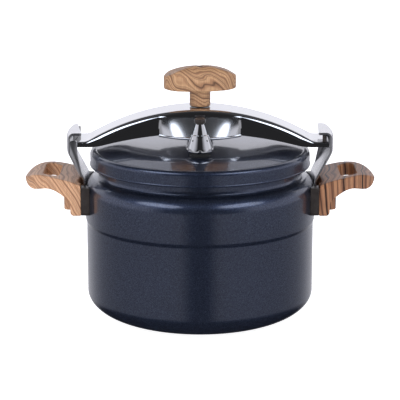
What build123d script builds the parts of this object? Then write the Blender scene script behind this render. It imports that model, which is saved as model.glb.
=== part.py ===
from build123d import *
from math import asin, atan, cos, degrees, radians, sin, sqrt
import os

# Stovetop pressure cooker closed by an arched beam that hooks under two side brackets.
# Millimetres. Origin at the centre of the base, +Z up, beam along X, pressure regulator towards -Y.

# Pot
POT_R = 120.0
BASE_FLAT_R = 78.0
BASE_CORNER_H = 25.0
STEP_Z = 101.0
STEP_H = 2.0
STEP_OUT = 1.2
UPPER_R = POT_R + STEP_OUT
SHOULDER_Z = 133.0
SHOULDER_R = 17.0
NECK_R = 106.0
RIM_LIP_R = 109.5
RIM_Z = 166.0
WALL = 3.0
BASE_T = 5.0

# Lid
LID_R = 115.5
LID_BEAD_R = 1.3
LID_SKIRT_Z = 160.6
LID_RIM_Z = 177.0
LID_CORNER_R = 5.0
LID_DISH_R = 108.5
LID_DISH_Z = 176.2
LID_SLOPE_R = 85.0
LID_CENTRE_Z = 182.0
LID_T = 3.0
GASKET_GAP = 0.3

# Screw line: seat on the lid, spindle and knob, all on the Z axis
SEAT_R = 15.0
SEAT_TOP_Z = 190.5
SEAT_FLOOR_Z = 183.0
SEAT_BORE_R = 9.3
SPINDLE_R = 7.0
SPINDLE_FIT = 0.06
FOOT_R = 8.8
FOOT_Z = 183.3
FOOT_H = 3.2
SHANK_R = 5.0
SHANK_Z = 225.5
SHANK_TOP_Z = 243.0

# Knob
KNOB_L = 76.0
KNOB_W = 30.0
KNOB_BOTTOM_Z = 239.0
KNOB_END_Z = 241.0
KNOB_SIDE_Z = 254.0
KNOB_TOP_Z = 264.5
KNOB_TURN = 8.0
STEM_R = 10.9
STEM_Z = 222.2
GROOVE_Z = 224.6
PLUG_R = 4.25

# Beam
BEAM_HALF_L = 134.0
BEAM_HALF_W = 25.0
BEAM_TOP_Z = 221.5
BEAM_TOP_R = 225.0
BEAM_END_Z = 188.0
BEAM_TOP_BLEND_R = 15.0
BEAM_EDGE_Z = 197.4
BEAM_EDGE_R = 400.0
BEAM_EDGE_END_Z = 182.7
BEAM_EDGE_BLEND_R = 60.0
BEAM_T = 2.5
BEAM_ROUND = 5.0
BULGE_HALF_L = 42.0
BULGE_OUT = 19.0
BULGE_Z = 193.8
BULGE_TOP_Z = 214.0
BUSH_R = 10.0
BUSH_Z = 204.0
WASHER_Z = 216.8

# Brackets
BRACKET_T = 2.5
BRACKET_HALF_W = 25.0
TAB_GAP = 0.1
TAB_Z = 118.0
LEAN_Z = 146.5
WEB_R = 139.6
WEB_Z = 177.5
HOOK_Z = 198.0
HOOK_FAR_X = 122.8
STOP_GAP = 0.4
FLANGE_ROOT_X = 122.4
PAD_X = (126.6, 133.0)
PAD_GAP = 0.4
RIVET_R = 2.0
RIVET_Y = 14.0
RIVET_ZS = (123.0, 132.0)

# Handles
SPACER_X = 123.5
SPACER_HALF_W = 40.0
SPACER_Z = 112.5
SPACER_TOP_Z = 142.5
BLOCK_X = 134.7
BLOCK_HALF_W = 41.0
BLOCK_Z = 113.0
LOBE_X = 143.5
LOBE_HALF_W = 15.0
LOOP_X = 184.5
LOOP_START_X = 140.0
FINGER_X = 155.5
FINGER_L = 17.0
FINGER_HALF_W = 27.0
POCKET_X = 126.8
POCKET_HALF_W = 26.5
STUD_Y = 33.0
STUD_Z = 125.0
STUD_R = 2.5
NUT_R = 5.0
NUT_DEPTH = 5.0

# Valves on the lid
VALVE_Y = 63.0
VENT_R = 4.0
VENT_BORE_R = 1.6
VENT_TOP_Z = 203.0
SEAL_T = 1.5
WEIGHT_R = 13.5
WEIGHT_SIDES = 8
WEIGHT_Z = 185.3
WEIGHT_WIDE_Z = 190.9
WEIGHT_STEP_Z = 204.0
WEIGHT_TOP_Z = 214.9
CAP_R = 6.0
CAP_TOP_Z = 220.6
RELIEF_Y = VALVE_Y
RELIEF_TOP_Z = 196.5
RELIEF_CHAMBER_Z = 187.0
RELIEF_CHAMBER_TOP_Z = 194.6
RELIEF_DISC_Z = 187.3
RELIEF_DISC_TOP_Z = 188.6
RELIEF_STEM_TOP_Z = 199.5


def ring(outer_r, inner_r, low_z, high_z, x=0.0, y=0.0):
    """Plain tube or washer about a vertical axis."""
    height = high_z - low_z
    body = Cylinder(outer_r, height, align=(Align.CENTER, Align.CENTER, Align.MIN))
    bore = Cylinder(inner_r, height, align=(Align.CENTER, Align.CENTER, Align.MIN))
    return Pos(x, y, low_z) * (body - bore)


def rod(radius, low_z, high_z, x=0.0, y=0.0):
    """Plain vertical rod."""
    body = Cylinder(radius, high_z - low_z, align=(Align.CENTER, Align.CENTER, Align.MIN))
    return Pos(x, y, low_z) * body


def hexagon(flat_r, low_z, high_z, x=0.0, y=0.0):
    """Vertical hexagon prism with the given half distance across flats."""
    face = RegularPolygon(flat_r, 6, major_radius=False)
    return Pos(x, y, low_z) * extrude(face, high_z - low_z)


def block(x0, x1, y0, y1, z0, z1):
    """Box between two corners."""
    box = Box(x1 - x0, y1 - y0, z1 - z0, align=(Align.MIN, Align.MIN, Align.MIN))
    return Pos(x0, y0, z0) * box


def turned(edges):
    """Solid of revolution about Z from closed edges drawn in X and Z."""
    return revolve(make_face(edges), Axis.Z)


def xz(*points):
    """Straight edges joining points given as (x, z)."""
    return Polyline(*[(x, 0, z) for x, z in points])


def round_xz(centre_x, centre_z, radius, start, end):
    """Circular arc in the XZ plane, from one angle to another in degrees from +X towards +Z."""
    mid = (start + end) / 2
    points = [
        (centre_x + radius * cos(radians(a)), 0, centre_z + radius * sin(radians(a)))
        for a in (start, mid, end)
    ]
    return ThreePointArc(*points)


def base_corner(radial, height):
    """Quarter ellipse from the flat base up to the vertical wall."""
    plane = Plane(origin=(BASE_FLAT_R, 0, BASE_CORNER_H), x_dir=(1, 0, 0), z_dir=(0, -1, 0))
    return plane * EllipticalCenterArc((0, 0), radial, height, start_angle=270, arc_size=90)


def pot_body():
    """Drawn aluminium pot: rounded base, shallow step, shoulder and turned-out rim lip."""
    shoulder_x = UPPER_R - SHOULDER_R
    join = 75.0
    join_x = shoulder_x + SHOULDER_R * cos(radians(join))
    join_z = SHOULDER_Z + SHOULDER_R * sin(radians(join))
    inner_neck = NECK_R - WALL
    inner_r = SHOULDER_R - WALL
    inner_join = 90 + degrees(asin((shoulder_x - inner_neck) / inner_r))
    inner_join_z = SHOULDER_Z + inner_r * sin(radians(inner_join))
    neck_z = join_z + 3.5
    lip_z = RIM_Z - WALL
    turn_in = Spline(
        (join_x, 0, join_z),
        (NECK_R, 0, neck_z),
        tangents=[(-sin(radians(join)), 0, cos(radians(join))), (0, 0, 1)],
    )
    outside = [
        xz((0, 0), (BASE_FLAT_R, 0)),
        base_corner(POT_R - BASE_FLAT_R, BASE_CORNER_H),
        xz((POT_R, BASE_CORNER_H), (POT_R, STEP_Z), (UPPER_R, STEP_Z + STEP_H), (UPPER_R, SHOULDER_Z)),
        round_xz(shoulder_x, SHOULDER_Z, SHOULDER_R, 0, join),
        turn_in,
        xz((NECK_R, neck_z), (NECK_R, lip_z - 1.5), (RIM_LIP_R, lip_z), (RIM_LIP_R, RIM_Z)),
    ]
    inside = [
        xz((RIM_LIP_R, RIM_Z), (inner_neck, RIM_Z), (inner_neck, inner_join_z)),
        round_xz(shoulder_x, SHOULDER_Z, inner_r, inner_join, 0),
        xz(
            (UPPER_R - WALL, SHOULDER_Z),
            (UPPER_R - WALL, STEP_Z + STEP_H),
            (POT_R - WALL, STEP_Z),
            (POT_R - WALL, BASE_CORNER_H),
        ),
        base_corner(POT_R - WALL - BASE_FLAT_R, BASE_CORNER_H - BASE_T),
        xz((BASE_FLAT_R, BASE_T), (0, BASE_T), (0, 0)),
    ]
    pot = turned(outside + inside)
    return pot - rivet_holes() - left_of(rivet_holes())


def lid_shell():
    """Pressed lid: flat crown, sloping shoulder, raised rounded rim, straight skirt and a rolled bottom edge."""
    corner_x = LID_R - LID_CORNER_R
    corner_z = LID_RIM_Z - LID_CORNER_R
    skirt_in = LID_R - LID_T
    shell = turned([
        xz((0, LID_CENTRE_Z), (LID_SLOPE_R, LID_CENTRE_Z), (LID_DISH_R, LID_DISH_Z),
           (LID_DISH_R + 0.9, LID_RIM_Z), (corner_x, LID_RIM_Z)),
        round_xz(corner_x, corner_z, LID_CORNER_R, 90, 0),
        xz((LID_R, corner_z), (LID_R, LID_SKIRT_Z), (skirt_in, LID_SKIRT_Z), (skirt_in, corner_z)),
        round_xz(corner_x, corner_z, LID_CORNER_R - LID_T, 0, 90),
        xz((corner_x, LID_RIM_Z - LID_T), (LID_DISH_R, LID_DISH_Z - LID_T),
           (LID_SLOPE_R, LID_CENTRE_Z - LID_T), (0, LID_CENTRE_Z - LID_T), (0, LID_CENTRE_Z)),
    ])
    bead = Pos(0, 0, LID_SKIRT_Z + LID_BEAD_R) * Torus(LID_R - 0.7, LID_BEAD_R)
    shell = shell + bead
    shell = shell - rod(8.05, LID_DISH_Z - 10, LID_CENTRE_Z + 1)
    shell = shell - rod(5.6, LID_DISH_Z - 10, LID_CENTRE_Z + 1, y=-VALVE_Y)
    shell = shell - rod(6.1, LID_DISH_Z - 10, LID_CENTRE_Z + 1, y=RELIEF_Y)
    return shell


def lid_gasket():
    """Lip seal with a channel section open to the pressure, just above the pot's rim."""
    low = RIM_Z + GASKET_GAP
    high = low + 6.9
    outer = LID_R - LID_T - 0.4
    inner = 101.5
    return turned([
        xz(
            (inner, low), (outer, low), (outer, high - 1.6), (outer - 1.6, high), (inner, high),
            (inner, high - 1.9), (outer - 3.6, high - 2.2), (outer - 3.6, low + 2.2),
            (inner, low + 1.9), (inner, low),
        )
    ])


def seat_cup():
    """Turned cup riveted through the middle of the lid, which takes the foot of the screw."""
    cup = rod(SEAT_R, LID_CENTRE_Z, SEAT_TOP_Z) - rod(SEAT_BORE_R, SEAT_FLOOR_Z, SEAT_TOP_Z)
    cup = chamfer(cup.edges().group_by(Axis.Z)[-1].sort_by(SortBy.RADIUS)[-1], 1.2)
    spigot = rod(8.0, LID_CENTRE_Z - LID_T, LID_CENTRE_Z)
    rivet_head = rod(11.5, LID_CENTRE_Z - LID_T - 2.6, LID_CENTRE_Z - LID_T - 0.1)
    return cup + spigot + rivet_head


def foot_retainer():
    """Spring ring that keeps the foot of the screw in its cup."""
    return ring(SEAT_BORE_R - 0.02, SPINDLE_R + 0.4, 187.2, 188.7) - block(0, 20, -1.5, 1.5, 186, 190)


def spindle():
    """Clamping screw: swivel foot, threaded length and the shank inside the knob."""
    foot = rod(FOOT_R, FOOT_Z, FOOT_Z + FOOT_H)
    foot = chamfer(foot.edges().group_by(Axis.Z)[0], 1.0)
    thread = rod(SPINDLE_R, FOOT_Z + FOOT_H, SHANK_Z)
    shank = rod(SHANK_R, SHANK_Z, SHANK_TOP_Z)
    tapped = rod(2.0, SHANK_TOP_Z - 12, SHANK_TOP_Z)
    return foot + thread + shank - tapped


def knob_insert():
    """Metal bush moulded into the knob's stem, keyed on the shank."""
    return ring(8.0, SHANK_R, SHANK_Z, SHANK_TOP_Z)


def knob():
    """T-shaped knob: domed bar on a round stem with a turned groove near its foot."""
    half = KNOB_L / 2
    side = xz((-half, KNOB_END_Z), (-half, KNOB_SIDE_Z))
    crown = ThreePointArc((-half, 0, KNOB_SIDE_Z), (0, 0, KNOB_TOP_Z), (half, 0, KNOB_SIDE_Z))
    belly = ThreePointArc((half, 0, KNOB_END_Z), (0, 0, KNOB_BOTTOM_Z), (-half, 0, KNOB_END_Z))
    front = make_face([side, crown, xz((half, KNOB_SIDE_Z), (half, KNOB_END_Z)), belly])
    bar = extrude(front, KNOB_W, both=True)
    plan = Pos(0, 0, KNOB_BOTTOM_Z) * SlotOverall(KNOB_L, KNOB_W)
    bar = bar & extrude(plan, KNOB_TOP_Z - KNOB_BOTTOM_Z)
    cross = Plane.YZ * make_face([
        Polyline((-KNOB_W / 2, KNOB_SIDE_Z), (-KNOB_W / 2, KNOB_BOTTOM_Z),
                 (KNOB_W / 2, KNOB_BOTTOM_Z), (KNOB_W / 2, KNOB_SIDE_Z)),
        ThreePointArc((KNOB_W / 2, KNOB_SIDE_Z), (0, KNOB_TOP_Z), (-KNOB_W / 2, KNOB_SIDE_Z)),
    ])
    bar = bar & extrude(cross, half, both=True)
    stem = rod(STEM_R, STEM_Z, KNOB_BOTTOM_Z + 4)
    groove = ring(STEM_R + 1, STEM_R - 0.9, GROOVE_Z - 0.45, GROOVE_Z + 0.45)
    bores = rod(SPINDLE_R + 0.3, STEM_Z, SHANK_Z) + rod(8.0, SHANK_Z, SHANK_TOP_Z)
    bores = bores + rod(2.2, SHANK_TOP_Z, 252) + rod(PLUG_R, 252, KNOB_TOP_Z + 1)
    return Rot(0, 0, KNOB_TURN) * (bar + stem - groove - bores)


def knob_screw():
    """Screw down through the knob into the top of the spindle."""
    head = rod(3.8, 252, 255) - block(-4, 4, -0.5, 0.5, 254, 255.1)
    return head + rod(1.95, SHANK_TOP_Z - 10, 252)


def knob_plug():
    """Press-in plug over the knob's screw, a little below the crown."""
    return rod(PLUG_R - 0.05, 258.5, KNOB_TOP_Z - 1.0)


def arched_edge(radius, crown_z, end_z, blend_r):
    """Arch in X and Z with a reverse curve into flat level ends."""
    centre_z = crown_z - radius
    flat_x = sqrt((radius + blend_r) ** 2 - (end_z + blend_r - centre_z) ** 2)
    share = radius / (radius + blend_r)
    join_x = flat_x * share
    join_z = centre_z + (end_z + blend_r - centre_z) * share
    turn = degrees(atan(flat_x / (end_z + blend_r - centre_z)))
    right = round_xz(flat_x, end_z + blend_r, blend_r, 270 - turn, 270)
    left = round_xz(-flat_x, end_z + blend_r, blend_r, 270, 270 + turn)
    arch = ThreePointArc((-join_x, 0, join_z), (0, 0, crown_z), (join_x, 0, join_z))
    ends = [
        xz((-BEAM_HALF_L, end_z), (-flat_x, end_z)),
        xz((flat_x, end_z), (BEAM_HALF_L, end_z)),
    ]
    return [ends[0], left, arch, right, ends[1]]


def beam_blank(inset):
    """Solid between the beam's top surface and the lower edges of its flanges."""
    top = arched_edge(BEAM_TOP_R, BEAM_TOP_Z, BEAM_END_Z, BEAM_TOP_BLEND_R)
    edge = arched_edge(BEAM_EDGE_R, BEAM_EDGE_Z, BEAM_EDGE_END_Z, BEAM_EDGE_BLEND_R)
    tips = [
        xz((-BEAM_HALF_L, BEAM_END_Z), (-BEAM_HALF_L, BEAM_EDGE_END_Z)),
        xz((BEAM_HALF_L, BEAM_END_Z), (BEAM_HALF_L, BEAM_EDGE_END_Z)),
    ]
    width = BEAM_HALF_W - inset
    blank = extrude(make_face(top + edge + tips), width, both=True)
    crown = blank.faces().filter_by(lambda f: f.normal_at().Z > 0.5)
    long_edges = ShapeList([
        e for f in crown for e in f.edges()
        if abs(abs(e.center().Y) - width) < 0.01
    ])
    return fillet(long_edges, BEAM_ROUND - inset)


def bulge(side, inset, drop):
    """Outward flare of one flange round the screw, growing from nothing to its full reach."""
    radius = (BULGE_HALF_L**2 + BULGE_OUT**2) / (2 * BULGE_OUT)
    centre_y = BEAM_HALF_W + BULGE_OUT - radius
    low = bulge_section(side, radius - inset, centre_y, BEAM_HALF_W - inset, BULGE_Z - drop)
    slight = 0.6
    top_radius = (BULGE_HALF_L**2 + slight**2) / (2 * slight)
    top_centre = BEAM_HALF_W + slight - top_radius
    high = bulge_section(side, top_radius - inset, top_centre, BEAM_HALF_W - inset, BULGE_TOP_Z - inset)
    return loft([low, high])


def bulge_section(side, radius, centre_y, chord_y, z):
    """Circle segment lying outside a chord parallel to X, at a height."""
    half = sqrt(radius**2 - (chord_y - centre_y) ** 2)
    arc = ThreePointArc((-half, side * chord_y, z), (0, side * (centre_y + radius), z),
                        (half, side * chord_y, z))
    root_y = side * (chord_y - 4)
    root = Polyline((half, side * chord_y, z), (half, root_y, z), (-half, root_y, z),
                    (-half, side * chord_y, z))
    return make_face([arc, root])


def bulge_lip(side):
    """Rolled edge along the bottom of the flare."""
    radius = (BULGE_HALF_L**2 + BULGE_OUT**2) / (2 * BULGE_OUT)
    centre_y = BEAM_HALF_W + BULGE_OUT - radius
    half_turn = degrees(asin(BULGE_HALF_L / radius))
    arc = CenterArc((0, 0), radius - 1.2, 90 - half_turn, 2 * half_turn)
    start = arc @ 0
    tangent = arc % 0
    section = Plane(origin=start, z_dir=tangent) * Circle(1.3)
    lip = Pos(0, centre_y, BULGE_Z + 1.3) * sweep(section, path=arc)
    return lip if side > 0 else mirror(lip, Plane.XZ)


def beam():
    """Arched channel: rounded top plate, side flanges and a flare round the screw."""
    outer = beam_blank(0) + bulge(1, 0, 0) + bulge(-1, 0, 0)
    hollow = Pos(0, 0, -BEAM_T) * beam_blank(BEAM_T)
    hollow = hollow & block(-BEAM_HALF_L + BEAM_T, BEAM_HALF_L - BEAM_T, -60, 60, 150, 230)
    below = Pos(0, 0, -2 * BEAM_T) * beam_blank(BEAM_T)
    below = below & block(-BEAM_HALF_L + BEAM_T, BEAM_HALF_L - BEAM_T, -60, 60, 150, 230)
    hollow = hollow + below + bulge(1, BEAM_T, 6) + bulge(-1, BEAM_T, 6)
    shell = outer - hollow + bulge_lip(1) + bulge_lip(-1)
    return shell - rod(BUSH_R, BULGE_Z, BEAM_TOP_Z + 1)


def beam_bush():
    """Threaded bush that carries the screw: hexagon below, riveted spigot through the beam."""
    body = hexagon(14.0, BUSH_Z, WASHER_Z) + rod(BUSH_R, WASHER_Z, BEAM_TOP_Z + 0.2)
    return body - rod(SPINDLE_R + SPINDLE_FIT, BUSH_Z - 1, BEAM_TOP_Z + 1)


def beam_washer():
    """Flat washer between the bush and the underside of the beam."""
    return ring(16.5, BUSH_R + 0.1, WASHER_Z, WASHER_Z + 1.5)


def web_profile():
    """Section of a bracket: tab on the wall, leaning web and hook turned in over the beam."""
    tab = UPPER_R + TAB_GAP
    inner = FilletPolyline(
        (tab, 0, TAB_Z),
        (tab, 0, LEAN_Z),
        (WEB_R - BRACKET_T, 0, WEB_Z),
        (WEB_R - BRACKET_T, 0, HOOK_Z - BRACKET_T),
        (HOOK_FAR_X - 2, 0, HOOK_Z - BRACKET_T),
        radius=4.0,
    )
    outer = FilletPolyline(
        (tab + BRACKET_T, 0, TAB_Z),
        (tab + BRACKET_T, 0, LEAN_Z - 0.6),
        (WEB_R, 0, WEB_Z - 0.6),
        (WEB_R, 0, HOOK_Z),
        (HOOK_FAR_X - 2, 0, HOOK_Z),
        radius=6.5,
    )
    ends = [
        xz((tab, TAB_Z), (tab + BRACKET_T, TAB_Z)),
        xz((HOOK_FAR_X - 2, HOOK_Z - BRACKET_T), (HOOK_FAR_X - 2, HOOK_Z)),
    ]
    return make_face([inner, outer] + ends)


def bracket(stop_side, hook_plus_x, hook_minus_x):
    """Side bracket at +X. The stop flange is on the side of Y that stop_side gives."""
    sweep_angle = 30.0
    curved = Rot(0, 0, -sweep_angle / 2) * revolve(web_profile(), Axis.Z, revolution_arc=sweep_angle)
    flange_in = BRACKET_HALF_W + STOP_GAP
    flange_out = flange_in + BRACKET_T
    low_y = -BRACKET_HALF_W if stop_side > 0 else -flange_out
    high_y = flange_out if stop_side > 0 else BRACKET_HALF_W
    plan = make_face(Polyline(
        (110, low_y), (150, low_y), (150, high_y), (110, high_y), (110, low_y)))
    web = curved & Pos(0, 0, TAB_Z) * extrude(plan, HOOK_Z - TAB_Z)
    hook_cut = make_face(Polyline(
        (100, -30), (hook_minus_x, -30), (hook_plus_x, 30), (100, 30), (100, -30)))
    web = web - Pos(0, 0, HOOK_Z - 8) * extrude(hook_cut, 20)
    tab_trim = block(100, 150, BRACKET_HALF_W, 40, TAB_Z - 1, LEAN_Z)
    tab_trim = tab_trim + block(100, 150, -40, -BRACKET_HALF_W, TAB_Z - 1, LEAN_Z)
    web = web - tab_trim
    rib = make_face(xz(
        (WEB_R - 3.6, WEB_Z + 10), (WEB_R - 12, WEB_Z + 13), (WEB_R - 12.5, WEB_Z - 2),
        (FLANGE_ROOT_X, LEAN_Z + 6), (FLANGE_ROOT_X + 2.4, LEAN_Z + 5), (WEB_R - 3.6, WEB_Z - 1),
        (WEB_R - 3.6, WEB_Z + 10)))
    rib = Pos(0, stop_side * (flange_in + BRACKET_T / 2), 0) * extrude(rib, BRACKET_T / 2, both=True)
    return web + rib - rivet_holes()


def hook_pad():
    """Pad under the hook, at +X, that the end of the beam bears on."""
    low = BEAM_END_Z + PAD_GAP
    high = HOOK_Z - BRACKET_T - 0.05
    pad = block(*PAD_X, -BRACKET_HALF_W + 1, BRACKET_HALF_W - 1, low, high)
    pad = pad & rod(PAD_X[1], low, high)
    slant = make_face(Polyline((100, -30), (126.5, -30), (131.4, 30), (100, 30), (100, -30)))
    return fillet(pad.edges().filter_by(Axis.Z), 1.0) - Pos(0, 0, low - 1) * extrude(slant, 12)


def bracket_rivets():
    """Four rivets through the pot's wall and the bracket's tab, at +X."""
    rivets = []
    for y in (-RIVET_Y, RIVET_Y):
        for z in RIVET_ZS:
            angle = degrees(asin(y / UPPER_R))
            shank = Cylinder(RIVET_R, 7.6)
            inner_head = Pos(0, 0, -3.95) * Cylinder(3.6, 1.6)
            outer_head = Pos(0, 0, 3.4) * Cylinder(3.6, 1.5)
            rivet = Rot(0, 90, 0) * (shank + inner_head + outer_head)
            rivets.append(Rot(0, 0, angle) * Pos(UPPER_R, 0, z) * rivet)
    return Compound(rivets)


def rivet_holes():
    """Radial holes for the four rivets at +X."""
    holes = []
    for y in (-RIVET_Y, RIVET_Y):
        for z in RIVET_ZS:
            angle = degrees(asin(y / UPPER_R))
            hole = Rot(0, 90, 0) * Cylinder(RIVET_R, 20)
            holes.append(Rot(0, 0, angle) * Pos(UPPER_R, 0, z) * hole)
    return Compound(holes)


def pot_wall_blank(reach):
    """Everything inside the pot's outer wall, grown by reach."""
    return rod(UPPER_R + reach, SPACER_Z - 5, SHOULDER_Z + 20)


def handle_spacer():
    """Heat-resistant spacer between the pot and the handle, at +X, open round the bracket."""
    plate = block(100, SPACER_X, -SPACER_HALF_W, SPACER_HALF_W, SPACER_Z, SPACER_TOP_Z)
    corner = plate.edges().filter_by(Axis.X).group_by(Axis.Z)[0]
    plate = fillet(corner, 4.0) - pot_wall_blank(TAB_GAP)
    window = block(100, 130, -POCKET_HALF_W, POCKET_HALF_W, TAB_Z - 1, SPACER_TOP_Z + 1)
    return plate - window - stud_holes(STUD_R + 0.1, 130)


def stud_holes(radius, far_x):
    """Two holes along X at the places of the handle studs."""
    hole = Rot(0, 90, 0) * Cylinder(radius, far_x - 100, align=(Align.CENTER, Align.CENTER, Align.MIN))
    return Pos(100, STUD_Y, STUD_Z) * hole + Pos(100, -STUD_Y, STUD_Z) * hole


def loop_side():
    """Side view of the handle's loop: rises from the block to a rounded tip."""
    over = Spline((SPACER_X, 0, 144.6), (134.0, 0, 149.0), (149.0, 0, 152.8), (172.0, 0, 153.9),
                  (LOOP_X, 0, 146.2))
    under = Spline((LOOP_X, 0, 146.2), (176.0, 0, 138.6), (158.0, 0, 141.0), (143.0, 0, 134.5),
                   (BLOCK_X - 2, 0, 124.0))
    back = xz((BLOCK_X - 2, 124.0), (SPACER_X, 124.0), (SPACER_X, 144.6))
    return make_face([over, under, back])


def loop_plan():
    """Plan of the handle: straight at the block, then half an ellipse out to the tip."""
    tip = EllipticalCenterArc((LOOP_START_X, 0), LOOP_X - LOOP_START_X, BLOCK_HALF_W - 1,
                              start_angle=-90, arc_size=180)
    half = BLOCK_HALF_W - 1
    root = Polyline((LOOP_START_X, half), (SPACER_X, half), (SPACER_X, -half), (LOOP_START_X, -half))
    finger = Pos(FINGER_X, 0) * RectangleRounded(FINGER_L, 2 * FINGER_HALF_W, 8.2)
    return make_face([tip, root]) - finger


def handle():
    """Loop handle with its mounting block, at +X."""
    loop = extrude(loop_side(), 60, both=True) & Pos(0, 0, 100) * extrude(loop_plan(), 80)
    base = block(SPACER_X, BLOCK_X, -BLOCK_HALF_W, BLOCK_HALF_W, BLOCK_Z, 143.5)
    base = chamfer(base.edges().filter_by(Axis.Y).group_by(Axis.Z)[0].sort_by(Axis.X)[-1], 2.5)
    lobe = block(BLOCK_X - 3, LOBE_X, -LOBE_HALF_W, LOBE_HALF_W, BLOCK_Z, 143.0)
    lobe = fillet(lobe.edges().filter_by(Axis.Z).sort_by(Axis.X)[-2:], 5.0)
    grip = loop + base + lobe
    pocket = block(100, POCKET_X, -POCKET_HALF_W, POCKET_HALF_W, TAB_Z - 2, 160)
    nut_room = stud_holes(NUT_R + 0.3, 100 + 60) - block(90, BLOCK_X - NUT_DEPTH, -50, 50, 100, 150)
    nut_room = nut_room & block(100, BLOCK_X + 3, -50, 50, 100, STUD_Z + NUT_R + 0.4)
    return grip - pocket - stud_holes(STUD_R + 0.1, BLOCK_X) - nut_room


def handle_studs():
    """Two threaded studs welded to the pot's wall, at +X."""
    far = BLOCK_X - 1.5
    studs = stud_holes(STUD_R, far) - pot_wall_blank(0)
    return Compound(studs.solids())


def handle_nuts():
    """Two cap nuts sunk in the outer face of the handle, at +X."""
    low = BLOCK_X - NUT_DEPTH
    nuts = []
    for y in (-STUD_Y, STUD_Y):
        body = Rot(0, 90, 0) * extrude(RegularPolygon(NUT_R - 0.2, 6, major_radius=True), NUT_DEPTH - 0.6)
        bore = Rot(0, 90, 0) * rod(STUD_R, 0, NUT_DEPTH - 1.5)
        nuts.append(Pos(low, y, STUD_Z) * (body - bore))
    return Compound(nuts)


def vent_pipe():
    """Pipe through the lid that the regulator sits on, with a hexagon shoulder."""
    root_z = LID_CENTRE_Z - LID_T
    shoulder = LID_CENTRE_Z + SEAL_T
    pipe = rod(VENT_R, shoulder, VENT_TOP_Z, y=-VALVE_Y)
    pipe = chamfer(pipe.edges().group_by(Axis.Z)[-1], 1.2)
    pipe = pipe + hexagon(5.6, shoulder, WEIGHT_Z - 0.4, y=-VALVE_Y)
    pipe = pipe + rod(5.5, root_z - 8.5, shoulder, y=-VALVE_Y)
    return pipe - rod(VENT_BORE_R, root_z - 9, VENT_TOP_Z + 1, y=-VALVE_Y)


def vent_seal():
    """Rubber ring under the regulator, seated on the lid."""
    return ring(10.8, 5.5, LID_CENTRE_Z, LID_CENTRE_Z + SEAL_T, y=-VALVE_Y)


def vent_nut():
    """Hexagon nut under the lid on the vent pipe."""
    high = LID_CENTRE_Z - LID_T - 0.9
    return hexagon(8.0, high - 5, high, y=-VALVE_Y) - rod(5.5, high - 6, high + 1, y=-VALVE_Y)


def regulator_weight():
    """Faceted weight with a loose bore over the vent pipe and four escape holes."""
    neck_r = 3.9
    lathe = turned([
        xz(
            (0, WEIGHT_Z), (8.4, WEIGHT_Z), (WEIGHT_R, WEIGHT_WIDE_Z - 3.2),
            (WEIGHT_R, WEIGHT_WIDE_Z), (8.4, WEIGHT_STEP_Z), (7.2, WEIGHT_STEP_Z + 0.2),
            (neck_r, WEIGHT_TOP_Z), (0, WEIGHT_TOP_Z), (0, WEIGHT_Z),
        )
    ])
    wide = Pos(0, 0, WEIGHT_WIDE_Z - 9) * RegularPolygon(17.0, WEIGHT_SIDES)
    narrow = Pos(0, 0, WEIGHT_STEP_Z + 13) * RegularPolygon(3.4, WEIGHT_SIDES)
    lathe = lathe & loft([wide, narrow])
    bore = rod(VENT_R + 0.4, WEIGHT_Z - 1, VENT_TOP_Z + 0.8)
    escape = Pos(0, 0, WEIGHT_STEP_Z - 5) * Rot(0, 90, 0) * Cylinder(0.9, 40)
    lathe = lathe - bore - Rot(0, 0, 45) * escape - Rot(0, 0, -45) * escape
    lathe = lathe - rod(2.0, WEIGHT_TOP_Z - 2.5, WEIGHT_TOP_Z + 1)
    needle_room = rod(1.1, VENT_TOP_Z, WEIGHT_TOP_Z)
    return Pos(0, -VALVE_Y, 0) * (lathe - needle_room)


def regulator_needle():
    """Needle pressed in the weight, whose point closes the vent pipe."""
    cone = Pos(0, 0, VENT_TOP_Z - 2.6) * Cone(0.4, 1.1, 2.6, align=(Align.CENTER, Align.CENTER, Align.MIN))
    return Pos(0, -VALVE_Y, 0) * (cone + rod(1.1, VENT_TOP_Z, WEIGHT_TOP_Z - 2.5))


def regulator_cap():
    """Heat-resistant finger cap on the weight."""
    cap = turned([
        xz(
            (0, WEIGHT_TOP_Z), (4.0, WEIGHT_TOP_Z), (CAP_R, WEIGHT_TOP_Z + 1.6), (CAP_R, CAP_TOP_Z - 1.2),
            (CAP_R - 1.2, CAP_TOP_Z), (0, CAP_TOP_Z), (0, WEIGHT_TOP_Z),
        )
    ])
    peg = rod(2.0, WEIGHT_TOP_Z - 2.5, WEIGHT_TOP_Z)
    return Pos(0, -VALVE_Y, 0) * (cap + peg)


def relief_body():
    """Spring-loaded safety valve's body through the lid, behind the beam."""
    seat = LID_CENTRE_Z + 1.5
    flange = hexagon(9.0, seat, seat + 4)
    tube = rod(7.4, seat + 4, RELIEF_TOP_Z)
    tube = chamfer(tube.edges().group_by(Axis.Z)[-1], 1.0)
    body = flange + tube + rod(6.0, seat - 13, seat)
    body = body - rod(5.4, RELIEF_CHAMBER_Z, RELIEF_CHAMBER_TOP_Z) - rod(2.2, 160, 200)
    return Pos(0, RELIEF_Y, 0) * body


def relief_seal():
    """Rubber ring between the safety valve's body and the lid."""
    seat = LID_CENTRE_Z
    return ring(9.6, 6.0, seat, seat + 1.5, y=RELIEF_Y)


def relief_nut():
    """Hexagon nut under the lid on the safety valve."""
    high = LID_CENTRE_Z - LID_T - 1.0
    return hexagon(9.0, high - 5, high, y=RELIEF_Y) - rod(6.0, high - 6, high + 1, y=RELIEF_Y)


def relief_pin():
    """Valve pin: disc on its seat and a stem that shows above the body."""
    pin = rod(4.8, RELIEF_DISC_Z, RELIEF_DISC_TOP_Z) + rod(1.9, 178.0, RELIEF_STEM_TOP_Z)
    pin = chamfer(pin.edges().group_by(Axis.Z)[-1], 0.6)
    return Pos(0, RELIEF_Y, 0) * pin


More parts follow.
